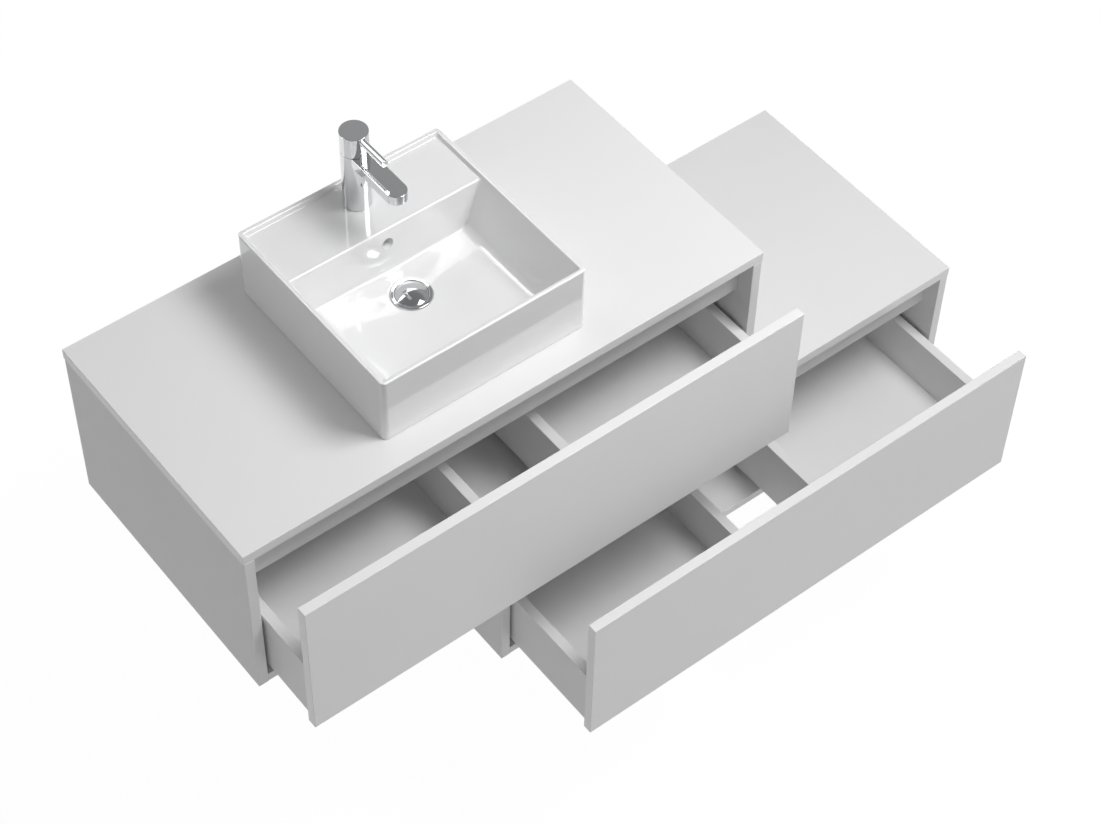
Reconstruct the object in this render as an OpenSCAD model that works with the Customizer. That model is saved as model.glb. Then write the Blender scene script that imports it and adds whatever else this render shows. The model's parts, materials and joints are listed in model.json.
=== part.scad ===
// Wall-hung bathroom vanity: two staggered drawer modules, a square
// countertop basin, a single-lever tap, a push-open waste and a bottle trap.
// The origin lies on the wall, at the middle of the upper module's four wall
// fixing holes. X runs to the right, Y runs back to the wall, Z runs up.
// The drawers are drawn as far open as they are shown.

/* [Modules] */
// Width of one module over its top board
module_w = 900; // [800:10:1200]
// Depth of a module from its front to the wall
module_d = 450; // [430:5:520]
// Height of a module from its top face to the lower ends of its sides
module_h = 305; // [290:5:360]
// Distance by which the lower module stands to the right of the upper one
stagger = 425; // [200:5:500]
// Height of the shadow gap between the two modules
shadow_gap = 8; // [5:1:15]

/* [Boards] */
// Thickness of the carcass and drawer boards
board_t = 16; // [15:0.5:18]
// Thickness of a top board
top_t = 18; // [16:1:25]
// Distance by which a top board stands out past the side boards
top_overhang = 1.5; // [0.5:0.5:4]
// Height of the bottom board above the lower ends of the sides
bottom_raise = 1; // [0:0.5:3]
// Height of the front rail under the top board
front_rail_h = 75; // [50:5:90]
// Distance of the front rail behind the front edge of the sides
front_rail_setback = 29; // [20:1:50]
// Height of each rear rail
rear_rail_h = 80; // [70:5:90]
// Distance of the rear rails in front of the wall
rear_rail_recess = 18; // [16:1:24]

/* [Drawers] */
// Gap round the edge of an inset drawer front
front_gap = 1.5; // [1:0.5:3]
// Gap between a drawer side and the carcass side
drawer_side_gap = 5; // [4.5:0.5:7]
// Height of the boards of a drawer box
drawer_box_h = 115; // [90:5:125]
// Height of the drawer box above the carcass bottom board
drawer_box_lift = 15; // [15:0.5:20]
// Gap between a closed drawer and the rear rails
drawer_rear_gap = 15; // [10:1:40]
// Thickness of a drawer floor panel
drawer_floor_t = 8; // [6:1:10]
// Depth of the recess under a drawer floor panel
skirt_h = 15; // [15:0.5:18]
// Width of the open gap for the trap, between the two dividers
siphon_gap_w = 143; // [120:1:180]
// Distance by which the upper drawer stands open
upper_opening = 113; // [60:1:200]
// Distance by which the lower drawer stands open
lower_opening = 198; // [60:1:240]

/* [Runners] */
// Gap between the runners and the rear rails
runner_rear_gap = 9; // [6:1:30]
// Length by which the sliding members are shorter than the fixed ones
sliding_member_short = 15; // [10:1:40]
// Distance of the runner behind the closed drawer front
runner_setback = 6; // [4:1:12]
// Thickness of the runner steel
runner_steel_t = 1.5; // [1.2:0.1:1.6]
// Width of the middle member
middle_member_w = 9; // [8:0.5:12]
// Running play between two members
runner_play = 0.3; // [0.2:0.1:0.5]
// Distance of the runner channel from the drawer side
channel_inset = 4; // [3:0.5:8]

/* [Basin] */
// Width of the basin
basin_w = 346.5; // [320:0.5:380]
// Depth of the basin from front to back
basin_d = 346.5; // [320:0.5:360]
// Height of the rim above the top board
basin_h = 118; // [105:1:140]
// Distance of the basin's middle to the right of the module's middle
basin_shift = -15.75; // [-30:0.25:30]
// Distance of the basin from the front edge of the top board
basin_y = 45; // [20:1:60]
// Radius of the basin's upright corners
basin_corner_r = 9; // [6:0.5:14]
// Radius of the upright corners inside the bowl
bowl_corner_r = 3; // [2:0.5:6]
// Width of the raised rim
rim_w = 7; // [6:0.5:9]
// Depth of the tap deck below the rim
deck_drop = 7; // [4:0.5:10]
// Depth of the tap deck from the back of the basin to the bowl
deck_d = 114.5; // [105:0.5:125]
// Thickness of the fired clay
clay_t = 9; // [8:0.5:10]
// Height of the bowl floor at its edges
floor_z = 36; // [32:1:42]
// Fall of the bowl floor towards the waste
floor_fall = 9; // [4:0.5:10]
// Slope of the bowl's left and right walls, measured at the floor
side_slope = 34; // [20:1:40]
// Slope of the bowl's rear wall, measured at the floor
rear_slope = 5; // [3:1:10]
// Slope of the bowl's front wall, measured at the floor
front_slope = 14; // [8:1:20]
// Radius of the overflow hole
overflow_r = 9.5; // [8:0.5:11]
// Height of the overflow hole's centre
overflow_z = 84; // [78:1:88]

/* [Tap] */
// Radius of the tap body and its cap
tap_r = 21; // [20:0.5:24]
// Distance of the tap's centre from the back of the basin
tap_from_back = 46; // [40:1:50]
// Height of the tap body above the deck
tap_body_h = 103.5; // [90:0.5:130]
// Height of the turning cap
tap_cap_h = 34.7; // [32:0.1:45]
// Gap between the cap and the body
tap_seam = 0.4; // [0.3:0.1:0.6]
// Width of the spout
spout_w = 31.5; // [30:0.5:36]
// Thickness of the spout
spout_t = 16; // [15:0.5:20]
// Reach of the spout from the tap's centre to its tip
spout_reach = 113; // [95:1:140]
// Radius of the lever rod
lever_r = 5.5; // [4:0.5:5.5]
// Reach of the lever rod from the tap's centre to its tip
lever_reach = 73; // [60:1:90]
// Angle through which the lever lifts
lever_lift = 16; // [12:1:18]
// Radius of the mixing cartridge
cartridge_r = 17; // [16:0.5:17.5]

/* [Waste and trap] */
// Distance of the waste's centre from the front of the basin
waste_from_front = 175.5; // [165:0.5:180]
// Radius of the waste's visible ring
waste_ring_r = 30.5; // [29:0.5:33]
// Radius of the waste's tail
waste_tail_r = 21; // [20:0.5:22]
// Radius of the domed plug
plug_r = 24; // [23:0.5:25]
// Height of the dome
plug_dome_h = 6; // [4:0.5:8]
// Radius of the trap's pipes
pipe_r = 16; // [15:0.5:17]
// Radius of the trap's bottle
bottle_r = 32; // [28:1:36]
// Height of the trap's bottle
bottle_h = 92; // [80:1:100]
// Depth of the trap's outlet below the top face of the top board
outlet_drop = 135; // [130:1:140]

/* [Wall fixing] */
// Depth of the middle of the fixing holes below the top face
fixing_drop = 90; // [85:1:100]
// Upright distance between the two holes of one wall plate
fixing_pitch = 30; // [24:1:36]
// Radius of a fixing hole
fixing_r = 3.5; // [3:0.25:4]
// Width of a wall plate
wall_plate_w = 60; // [50:1:70]
// Thickness of a wall plate
wall_plate_t = 3; // [2:0.5:4]
// Distance of a wall plate from the outer face of the side board
wall_plate_inset = 20; // [18:1:30]

/* [Fittings] */
// Radius of a cam fitting
cam_r = 7.5; // [7:0.5:8]
// Depth of a cam fitting
cam_h = 12.5; // [12:0.5:13]
// Distance of a cam's centre from the joint
cam_reach = 34; // [30:1:36]
// Radius of a connecting bolt
cam_bolt_r = 3; // [2.5:0.5:3.5]
// Radius of a joining bolt between the modules
join_bolt_r = 3; // [2.5:0.5:4]
// Radius of a spacer between the modules
spacer_r = 15; // [12:1:20]

/* [Hidden] */

$fn = 48;
hull_sides = 32;
UPPER = 0;
LOWER = 1;

// One overrun serves every cut. The plays are those of fitted and of resting
// pieces.
over = 1;
fit_play = 0.1;
seat_play = 0.3;
turn_play = 0.06;

// A module's own frame has x from its left end, y from its front edge and z
// from its top face. A drawer's own frame is the module's with it closed.
side_x = top_overhang;
inner_x = side_x + board_t;
inner_w = module_w - 2 * inner_x;
side_h = module_h - top_t;
bottom_top_z = -module_h + bottom_raise + board_t;
bottom_under_z = bottom_top_z - board_t;
rear_rail_y = module_d - rear_rail_recess - board_t;

front_x = inner_x + front_gap;
front_w = inner_w - 2 * front_gap;
front_z = bottom_top_z + front_gap;
front_h = -top_t - front_gap - front_z;

box_x = inner_x + drawer_side_gap;
drawer_box_d = rear_rail_y - board_t - drawer_rear_gap;
box_z = bottom_top_z + drawer_box_lift;
box_inner_x = box_x + board_t;
panel_under_z = box_z + skirt_h;
groove_d = 5;
back_y = drawer_box_d;
panel_top_z = panel_under_z + drawer_floor_t;
divider_x = (module_w - siphon_gap_w) / 2 - board_t;
opening = [upper_opening, lower_opening];

// Dowels stand a little way in the face of one board and further in the end
// of the other
dowel_r = 4;
dowel_in_face = 9;
dowel_in_end = 20;
dowel_height_shares = [0.3, 0.75];

// The cabinet member's channel and the drawer member's cap both embrace the
// middle member
channel_x = box_inner_x + channel_inset;
channel_w = middle_member_w + 2 * runner_steel_t + 2 * runner_play;
middle_x = channel_x + runner_steel_t + runner_play;
runner_y = board_t + runner_setback;
cabinet_member_l = rear_rail_y - runner_rear_gap - runner_y;
middle_member_l = cabinet_member_l - sliding_member_short;
runner_low_share = 0.27;
runner_low_z = bottom_top_z + drawer_box_lift * runner_low_share;
runner_h = panel_under_z - runner_low_z;
middle_z = runner_low_z + runner_steel_t + runner_play;
middle_h = runner_h - 2 * (runner_steel_t + runner_play);
embrace_share = 0.44;
embrace_h = runner_h * embrace_share;
flange_share = 1.35;
flange_h = runner_h * flange_share;
race_d = 2.2;
race_share = 0.4;

// Cams and their bolts
cam_bolt_into = 10;
cam_slot_w = 2;
cam_slot_d = 3;
cam_slot_share = 0.6;
cam_place_shares = [0.2, 0.8];
rail_joint_share = 0.8;

// The basin's own frame starts at its front left corner on the top board
basin_x = (module_w - basin_w) / 2 + basin_shift;
deck_z = basin_h - deck_drop;
deck_t = 12.5;
bowl_back = basin_d - deck_d;
waste_x = basin_w / 2;
waste_z = floor_z - floor_fall;
ring_sink = 1.5;
ring_margin = 0.6;
floor_flat_margin = 4;
seat_z = waste_z - ring_sink;
waste_hole_r = waste_tail_r + ring_sink;
hub_r = 34;
hub_low = 3;
duct_w = 22;
duct_t = 9;
duct_low = 9;
duct_h = 7.5;

// Waste and trap, both about the waste's upright axis
ring_h = 3;
ring_wall = 1;
tail_wall = 3;
tail_below = 40;
tail_end_z = -top_t - tail_below;
plug_edge_h = 1.4;
plug_stem_r = 4;
plug_stem_l = 55;
guide_r = 8;
guide_h = 12;
guide_z = -22;
guide_arm_w = 4;
overflow_slot_w = 16;
overflow_slot_h = 6.5;
gasket_h = 2;
gasket_r = 30;
waste_nut_r = 30;
waste_nut_h = 8;
board_hole_r = 34;
hose_hole_r = 24;
coupling_r = 26;
coupling_h = 20;
coupling_floor = 4;
pipe_wall = 2;
bottle_wall = 3;
neck_r = 21;
neck_h = 12;
collar_r = 20;
collar_l = 18;
bead_r = 18;
bead_w = 3;
bottle_top_drop = 30;
bottle_top_z = -outlet_drop + bottle_top_drop;
dip_share = 0.65;
bottle_ring_w = 2;
bottle_ring_h = 8;
bottle_ring_share = 0.82;

// Tap, about its upright axis
shank_r = 15;
shank_l = 34;
tap_hole_r = 17.5;
tap_seal_h = 0.4;
tap_seal_inset = 1;
tap_nut_r = 24;
tap_nut_h = 8;
seam_z = deck_z + tap_body_h;
cap_z = seam_z + tap_seam;
cap_top_z = cap_z + tap_cap_h;
cap_wall = 2.6;
cap_solid_h = 13;
cartridge_h = 30;
cartridge_drop = 1;
cartridge_wall = 4;
cartridge_floor = 3;
cartridge_lid = 6;
cartridge_port_r = 4;
chamber_r = 19;
chamber_drop = 22;
chamber_lip = 4;
stem_r = 9;
stem_foot_r = 12;
stem_foot_h = 6;
stem_foot_drop = 16;
stem_rise = 5.8;
pivot_y = 14.5;
pivot_rise = 3.2;
pivot_boss_r = 2.6;
pivot_pin_r = 1.5;
pivot_pin_l = 16.8;
lug_w = 8;
ear_w = 3.4;
ear_gap = 0.5;
lift_margin = 0.15;
lever_cover = 0.8;
lever_z = cap_top_z - lever_cover - lever_r;
lever_socket = 10;
lever_end_ease = 0.6;
spout_bore_r = 4;
aerator_r = 11;
aerator_in = 6;
aerator_out = 3;
aerator_bore_r = 8.5;
aerator_web = 4;
aerator_hole_r = 1.2;
aerator_hole_ring_r = 5;
inlet_r = 4.5;
inlet_x = 7;

// Push latches, on the bottom board under the drawer's two ends
latch_from_end = 200;
latch_w = 18;
latch_h = 11;
latch_l = 66;
latch_setback = 8;
latch_end = 6;
plunger_r = 4;
plunger_l = 46;
plunger_tip = 7;

// Wall plates and hangers
plate_x = side_x + wall_plate_inset;
plate_margin = 13;
plate_h = fixing_pitch + 2 * plate_margin;
plate_z = -fixing_drop - plate_h / 2;
lip_d = 10;
lip_rise = 10;
lip_y = module_d - wall_plate_t - lip_d;
hook_w = 26;
hook_t = 4;
hook_nose_l = 8;
hook_nose_gap = 1.5;
hook_reach = 16;
hook_stand_h = 29;
hook_slot_play = 4;
hook_x = plate_x + (wall_plate_w - hook_w) / 2;
hook_z = plate_z + plate_h + lip_rise + seat_play;
hook_slot_h = 18;
hook_slot_drop = 10;
hanger_w = 50;
hanger_d = 28;
hanger_h = 64;
hanger_drop = 2;
hanger_wall = 2.5;
peg_r = 5;
peg_l = 11;
peg_height_shares = [0.25, 0.7];
hanger_screw_r = 3;
hanger_screw_l = 20;
hanger_screw_head_r = 5;
hanger_screw_head_h = 3;
hanger_screw_share = 0.22;

// Spacers between the modules
spacer_x_shares = [0.25, 0.75];
spacer_y_shares = [0.3, 0.85];
spacer_h = shadow_gap + bottom_raise;
join_head_r = 7;
join_head_h = 3.5;
join_nut_r = 6.5;
join_nut_h = 5;
join_bolt_tail = 2;

module to_module(level) {
    translate([
        -module_w / 2 + level * stagger,
        -module_d,
        fixing_drop - level * (module_h + shadow_gap)
    ]) children();
}

module to_drawer(level) {
    to_module(level) translate([0, -opening[level], 0]) children();
}

module to_middle(level) {
    to_module(level) translate([0, -opening[level] / 2, 0]) children();
}

module to_basin() {
    to_module(UPPER) translate([basin_x, basin_y, 0]) children();
}

module to_waste() {
    to_basin() translate([waste_x, waste_from_front, 0]) children();
}

module to_tap() {
    to_basin() translate([waste_x, basin_d - tap_from_back, 0]) children();
}

// Mirrors a left-hand piece to the right-hand end of a module
module right_end() {
    translate([module_w, 0, 0]) mirror([1, 0, 0]) children();
}

module both_ends() {
    children();
    right_end() children();
}

// Joint places, each turned so that x runs into the board with the cam and
// z stands out of its face
module at_top_joints() {
    for (share = cam_place_shares)
        translate([inner_x, module_d * share, -top_t]) rotate([0, 90, 0]) children();
}

module at_bottom_joints() {
    for (share = cam_place_shares)
        translate([inner_x, module_d * share, bottom_under_z]) rotate([180, 0, 0]) children();
}

module at_front_rail_joint() {
    translate([inner_x, front_rail_setback + board_t, -top_t - front_rail_h / 2])
        rotate([-90, 0, 0]) children();
}

module at_rear_rail_joints() {
    for (z = [-top_t, bottom_top_z + rear_rail_h])
        translate([inner_x, rear_rail_y + board_t, z - rear_rail_h * rail_joint_share])
            rotate([-90, 0, 0]) children();
}

module at_all_joints() {
    at_top_joints() children();
    at_bottom_joints() children();
    at_front_rail_joint() children();
    at_rear_rail_joints() children();
}

module cam_hole() {
    translate([cam_reach, 0, -cam_h - fit_play])
        cylinder(r = cam_r + fit_play, h = cam_h + fit_play + over);
    translate([-over, 0, -board_t / 2]) rotate([0, 90, 0])
        cylinder(r = cam_bolt_r + fit_play, h = cam_reach + over);
}

module cam_bolt_hole() {
    translate([-cam_bolt_into - fit_play, 0, -board_t / 2]) rotate([0, 90, 0])
        cylinder(r = cam_bolt_r + fit_play, h = cam_bolt_into + fit_play + over);
}

module cam_fitting() {
    translate([cam_reach, 0, -cam_h]) difference() {
        cylinder(r = cam_r, h = cam_h);
        translate([-cam_r * cam_slot_share, -cam_slot_w / 2, cam_h - cam_slot_d])
            cube([2 * cam_r * cam_slot_share, cam_slot_w, cam_slot_d + over]);
        translate([-cam_r - over, 0, cam_h - board_t / 2]) rotate([0, 90, 0])
            cylinder(r = cam_bolt_r + fit_play, h = cam_r + over);
    }
    translate([-cam_bolt_into, 0, -board_t / 2]) rotate([0, 90, 0])
        cylinder(r = cam_bolt_r, h = cam_reach + cam_bolt_into - fit_play);
}

module at_spacers() {
    for (x = spacer_x_shares, y = spacer_y_shares)
        translate([stagger + (module_w - stagger) * x, module_d * y, 0]) children();
}

module top_board(level) {
    color("white") to_module(level) difference() {
        translate([0, 0, -top_t]) cube([module_w, module_d, top_t]);
        both_ends() at_top_joints() cam_bolt_hole();
        if (level == UPPER)
            for (hole = [
                [waste_from_front, board_hole_r],
                [basin_d - tap_from_back, hose_hole_r]
            ])
                translate([basin_x + waste_x, basin_y + hole[0], -top_t - over])
                    cylinder(r = hole[1], h = top_t + 2 * over);
        if (level == LOWER)
            translate([-stagger, 0, -top_t - over]) at_spacers()
                cylinder(r = join_bolt_r + fit_play, h = top_t + 2 * over);
    }
}

module side_board() {
    difference() {
        translate([side_x, 0, -module_h]) cube([board_t, module_d, side_h]);
        at_top_joints() cam_hole();
        at_bottom_joints() cam_bolt_hole();
        at_front_rail_joint() cam_bolt_hole();
        at_rear_rail_joints() cam_bolt_hole();
        at_hanger_pegs(fit_play);
    }
}

module side_left(level) {
    color("gainsboro") to_module(level) side_board();
}

module side_right(level) {
    color("gainsboro") to_module(level) right_end() side_board();
}

module bottom_board(level) {
    color("gainsboro") to_module(level) difference() {
        translate([inner_x, 0, bottom_under_z]) cube([inner_w, module_d, board_t]);
        both_ends() at_bottom_joints() cam_hole();
        if (level == UPPER)
            translate([0, 0, bottom_under_z - over]) at_spacers()
                cylinder(r = join_bolt_r + fit_play, h = board_t + 2 * over);
    }
}

module front_rail(level) {
    color("lightgrey") to_module(level) difference() {
        translate([inner_x, front_rail_setback, -top_t - front_rail_h])
            cube([inner_w, board_t, front_rail_h]);
        both_ends() at_front_rail_joint() cam_hole();
    }
}

module rear_rails(level) {
    color("lightgrey") to_module(level) difference() {
        for (z = [-top_t - rear_rail_h, bottom_top_z])
            translate([inner_x, rear_rail_y, z]) cube([inner_w, board_t, rear_rail_h]);
        both_ends() {
            at_rear_rail_joints() cam_hole();
            translate([
                hook_x - hook_slot_play,
                rear_rail_y - over,
                hook_z - hook_slot_drop
            ]) cube([hook_w + 2 * hook_slot_play, board_t + 2 * over, hook_slot_h]);
        }
    }
}

module carcass_fittings(level) {
    color("silver") to_module(level) both_ends() at_all_joints() cam_fitting();
}

module at_hanger_pegs(grow) {
    for (share = peg_height_shares)
        translate([
            inner_x - peg_l - grow,
            rear_rail_y - hanger_d / 2,
            -top_t - hanger_drop - hanger_h * (1 - share)
        ]) rotate([0, 90, 0]) cylinder(r = peg_r + grow, h = peg_l + hanger_wall / 2 + grow);
}

// One hanger: a box pegged to the side, and a hook drawn in by a screw
module hanger() {
    screw_z = -top_t - hanger_drop - hanger_h * (1 - hanger_screw_share);
    stand_y = rear_rail_y - hook_reach;
    difference() {
        union() {
            translate([inner_x, rear_rail_y - hanger_d, -top_t - hanger_drop - hanger_h])
                cube([hanger_w, hanger_d, hanger_h]);
            at_hanger_pegs(0);
        }
        translate([
            inner_x + hanger_wall,
            rear_rail_y - hanger_d - over,
            -top_t - hanger_drop - hanger_h + hanger_wall
        ]) cube([
            hanger_w - 2 * hanger_wall,
            hanger_d - hanger_wall + over,
            hanger_h - 2 * hanger_wall
        ]);
        translate([hook_x - fit_play, rear_rail_y - hanger_wall - over, hook_z - seat_play])
            cube([hook_w + 2 * fit_play, hanger_wall + 2 * over, hook_t + 2 * seat_play]);
    }
    difference() {
        union() {
            translate([hook_x, stand_y, hook_z])
                cube([hook_w, lip_y + wall_plate_t + hook_nose_gap + hook_t - stand_y, hook_t]);
            translate([hook_x, lip_y + wall_plate_t + hook_nose_gap, hook_z - hook_nose_l])
                cube([hook_w, hook_t, hook_nose_l + hook_t]);
            translate([hook_x, stand_y, hook_z + hook_t - hook_stand_h])
                cube([hook_w, hook_t, hook_stand_h]);
        }
        translate([hook_x + hook_w / 2, stand_y - over, screw_z]) rotate([-90, 0, 0])
            cylinder(r = hanger_screw_r + fit_play, h = hook_t + 2 * over);
    }
    translate([
        hook_x + hook_w / 2,
        rear_rail_y - hanger_wall - seat_play - hanger_screw_l,
        screw_z
    ])
        rotate([-90, 0, 0]) {
            cylinder(r = hanger_screw_r, h = hanger_screw_l);
            translate([0, 0, -hanger_screw_head_h])
                cylinder(r = hanger_screw_head_r, h = hanger_screw_head_h);
        }
}

module hangers(level) {
    color("silver") to_module(level) both_ends() hanger();
}

module wall_plate() {
    plate_y = module_d - wall_plate_t;
    difference() {
        union() {
            translate([plate_x, plate_y, plate_z])
                cube([wall_plate_w, wall_plate_t, plate_h]);
            translate([plate_x, lip_y, plate_z + plate_h - wall_plate_t])
                cube([wall_plate_w, lip_d + wall_plate_t, wall_plate_t]);
            translate([plate_x, lip_y, plate_z + plate_h - wall_plate_t])
                cube([wall_plate_w, wall_plate_t, wall_plate_t + lip_rise]);
        }
        for (side = [-1, 1])
            translate([
                plate_x + wall_plate_w / 2,
                plate_y - over,
                -fixing_drop + side * fixing_pitch / 2
            ]) rotate([-90, 0, 0]) cylinder(r = fixing_r, h = wall_plate_t + 2 * over);
    }
}

module wall_plates(level) {
    color("silver") to_module(level) both_ends() wall_plate();
}

module spacers() {
    color("dimgrey") to_module(UPPER) translate([0, 0, -module_h - shadow_gap])
        at_spacers() difference() {
            cylinder(r = spacer_r, h = spacer_h);
            translate([0, 0, -over])
                cylinder(r = join_bolt_r + fit_play, h = spacer_h + 2 * over);
        }
}

module joining_bolts() {
    nut_top_z = -module_h - shadow_gap - top_t;
    shank_l = bottom_top_z - nut_top_z + join_nut_h + join_bolt_tail;
    color("silver") to_module(UPPER) at_spacers() {
        translate([0, 0, bottom_top_z - shank_l]) cylinder(r = join_bolt_r, h = shank_l);
        translate([0, 0, bottom_top_z]) cylinder(r = join_head_r, h = join_head_h);
        translate([0, 0, nut_top_z - join_nut_h]) difference() {
            cylinder(r = join_nut_r, h = join_nut_h, $fn = 6);
            translate([0, 0, -over])
                cylinder(r = join_bolt_r + fit_play, h = join_nut_h + 2 * over);
        }
    }
}

// Left-hand runner members
module cabinet_member() {
    translate([inner_x, runner_y, runner_low_z]) {
        cube([runner_steel_t, cabinet_member_l, flange_h]);
        cube([channel_x + channel_w - inner_x, cabinet_member_l, runner_steel_t]);
    }
    for (x = [channel_x, channel_x + channel_w - runner_steel_t])
        translate([x, runner_y, runner_low_z])
            cube([runner_steel_t, cabinet_member_l, embrace_h]);
}

module cabinet_members(level) {
    color("silver") to_module(level) both_ends() cabinet_member();
}

module middle_member() {
    race_h = middle_h * race_share;
    difference() {
        translate([middle_x, runner_y, middle_z])
            cube([middle_member_w, middle_member_l, middle_h]);
        for (x = [middle_x - over, middle_x + middle_member_w - race_d])
            translate([x, runner_y - over, middle_z + (middle_h - race_h) / 2])
                cube([race_d + over, middle_member_l + 2 * over, race_h]);
    }
}

module middle_members(level) {
    color("lightsteelblue") to_middle(level) both_ends() middle_member();
}

module drawer_member() {
    translate([channel_x, runner_y, panel_under_z - runner_steel_t])
        cube([channel_w, middle_member_l, runner_steel_t]);
    for (x = [channel_x, channel_x + channel_w - runner_steel_t])
        translate([x, runner_y, panel_under_z - embrace_h])
            cube([runner_steel_t, middle_member_l, embrace_h]);
}

module drawer_members(level) {
    color("silver") to_drawer(level) both_ends() drawer_member();
}

// Left-hand dowels of a drawer, drawn larger by the play for their holes
module dowels(play) {
    for (share = dowel_height_shares) {
        z = box_z + drawer_box_h * share;
        for (x = [box_x, divider_x])
            translate([x + board_t / 2, board_t - dowel_in_face - play, z])
                rotate([-90, 0, 0])
                    cylinder(r = dowel_r + play, h = dowel_in_face + dowel_in_end + 2 * play);
        for (x = [box_inner_x - dowel_in_face, divider_x - dowel_in_end])
            translate([x - play, back_y + board_t / 2, z]) rotate([0, 90, 0])
                cylinder(r = dowel_r + play, h = dowel_in_face + dowel_in_end + 2 * play);
    }
}

module floor_panel() {
    translate([box_inner_x - groove_d, board_t - groove_d, panel_under_z]) cube([
        divider_x - box_inner_x + 2 * groove_d,
        drawer_box_d + groove_d,
        drawer_floor_t
    ]);
}

module drawer_cuts() {
    dowels(fit_play);
    floor_panel();
}

module drawer_front(level) {
    color("whitesmoke") to_drawer(level) difference() {
        translate([front_x, 0, front_z]) cube([front_w, board_t, front_h]);
        both_ends() drawer_cuts();
    }
}

module drawer_upright(x) {
    difference() {
        translate([x, board_t, box_z]) cube([board_t, drawer_box_d, drawer_box_h]);
        drawer_cuts();
    }
}

module drawer_side_left(level) {
    color("gainsboro") to_drawer(level) drawer_upright(box_x);
}

module drawer_side_right(level) {
    color("gainsboro") to_drawer(level) right_end() drawer_upright(box_x);
}

module drawer_dividers(level) {
    color("gainsboro") to_drawer(level) both_ends() drawer_upright(divider_x);
}

module drawer_backs(level) {
    color("gainsboro") to_drawer(level) both_ends() difference() {
        translate([box_inner_x, back_y, panel_top_z])
            cube([divider_x - box_inner_x, board_t, box_z + drawer_box_h - panel_top_z]);
        dowels(fit_play);
    }
}

module drawer_floors(level) {
    color("lightgrey") to_drawer(level) both_ends() floor_panel();
}

module drawer_dowels(level) {
    color("burlywood") to_drawer(level) both_ends() dowels(0);
}

module latch_housing(level) {
    color("lightgrey") to_module(level) both_ends()
        translate([latch_from_end, board_t + latch_setback, bottom_top_z]) difference() {
            translate([-latch_w / 2, 0, 0]) cube([latch_w, latch_l, latch_h]);
            translate([0, -over, latch_h / 2]) rotate([-90, 0, 0])
                cylinder(r = plunger_r + turn_play, h = latch_l - latch_end + over);
        }
}

module latch_plunger(level) {
    color("dimgrey") to_module(level) both_ends()
        translate([
            latch_from_end,
            board_t + latch_setback - plunger_tip,
            bottom_top_z + latch_h / 2
        ]) rotate([-90, 0, 0]) cylinder(r = plunger_r, h = plunger_l);
}

// A flat outline with round corners
module round_rect(w, d, r) {
    translate([r, 0]) square([w - 2 * r, d]);
    translate([0, r]) square([w, d - 2 * r]);
    for (x = [r, w - r], y = [r, d - r])
        translate([x, y]) circle(r = r);
}

// The bowl's hollow, from the rim over the sloping walls and the falling
// floor to the waste. Grown by the clay, it is the outside of the shell.
module bowl(grow) {
    levels = [
        [rim_w - grow, rim_w - grow, bowl_back + grow, basin_h],
        [
            rim_w + side_slope - grow,
            rim_w + front_slope - grow,
            bowl_back - rear_slope + grow,
            floor_z - grow
        ]
    ];
    r = bowl_corner_r + grow;
    hull() {
        for (at = levels, x = [at[0] + r, basin_w - at[0] - r], y = [at[1] + r, at[2] - r])
            translate([x, y, at[3]]) cylinder(r = r, h = over, $fn = hull_sides);
        translate([waste_x, waste_from_front, waste_z - grow])
            cylinder(r = waste_ring_r + floor_flat_margin, h = over, $fn = hull_sides);
    }
}

// The clay under the deck side of the bowl that carries the overflow duct
module duct_clay() {
    wall = clay_t;
    translate([waste_x - duct_w / 2 - wall, waste_from_front, hub_low])
        cube([duct_w + 2 * wall, bowl_back - waste_from_front + wall + duct_t + wall, basin_h]);
}

module duct_space() {
    translate([waste_x - duct_w / 2, 0, 0]) {
        translate([0, waste_from_front, duct_low])
            cube([duct_w, bowl_back - waste_from_front + clay_t + duct_t, duct_h]);
        translate([0, bowl_back + clay_t, duct_low])
            cube([duct_w, duct_t, overflow_z + overflow_r - duct_low]);
    }
    translate([waste_x, bowl_back - rear_slope - over, overflow_z]) rotate([-90, 0, 0])
        cylinder(r = overflow_r, h = rear_slope + clay_t + duct_t / 2 + over);
}

module basin() {
    color("ghostwhite") to_basin() difference() {
        linear_extrude(basin_h) round_rect(basin_w, basin_d, basin_corner_r);
        bowl(0);
        translate([rim_w, bowl_back - rear_slope, deck_z]) linear_extrude(deck_drop + over)
            round_rect(basin_w - 2 * rim_w, deck_d + rear_slope - rim_w, bowl_corner_r);
        difference() {
            translate([clay_t, clay_t, -over])
                cube([basin_w - 2 * clay_t, basin_d - 2 * clay_t, deck_z - deck_t + over]);
            bowl(clay_t);
            duct_clay();
            translate([waste_x, waste_from_front, hub_low]) cylinder(r = hub_r, h = waste_z);
        }
        duct_space();
        translate([waste_x, waste_from_front, 0]) {
            cylinder(r = waste_hole_r, h = basin_h);
            translate([0, 0, seat_z])
                cylinder(r = waste_ring_r + ring_margin, h = basin_h);
        }
        translate([waste_x, basin_d - tap_from_back, 0]) cylinder(r = tap_hole_r, h = basin_h);
    }
}

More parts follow.
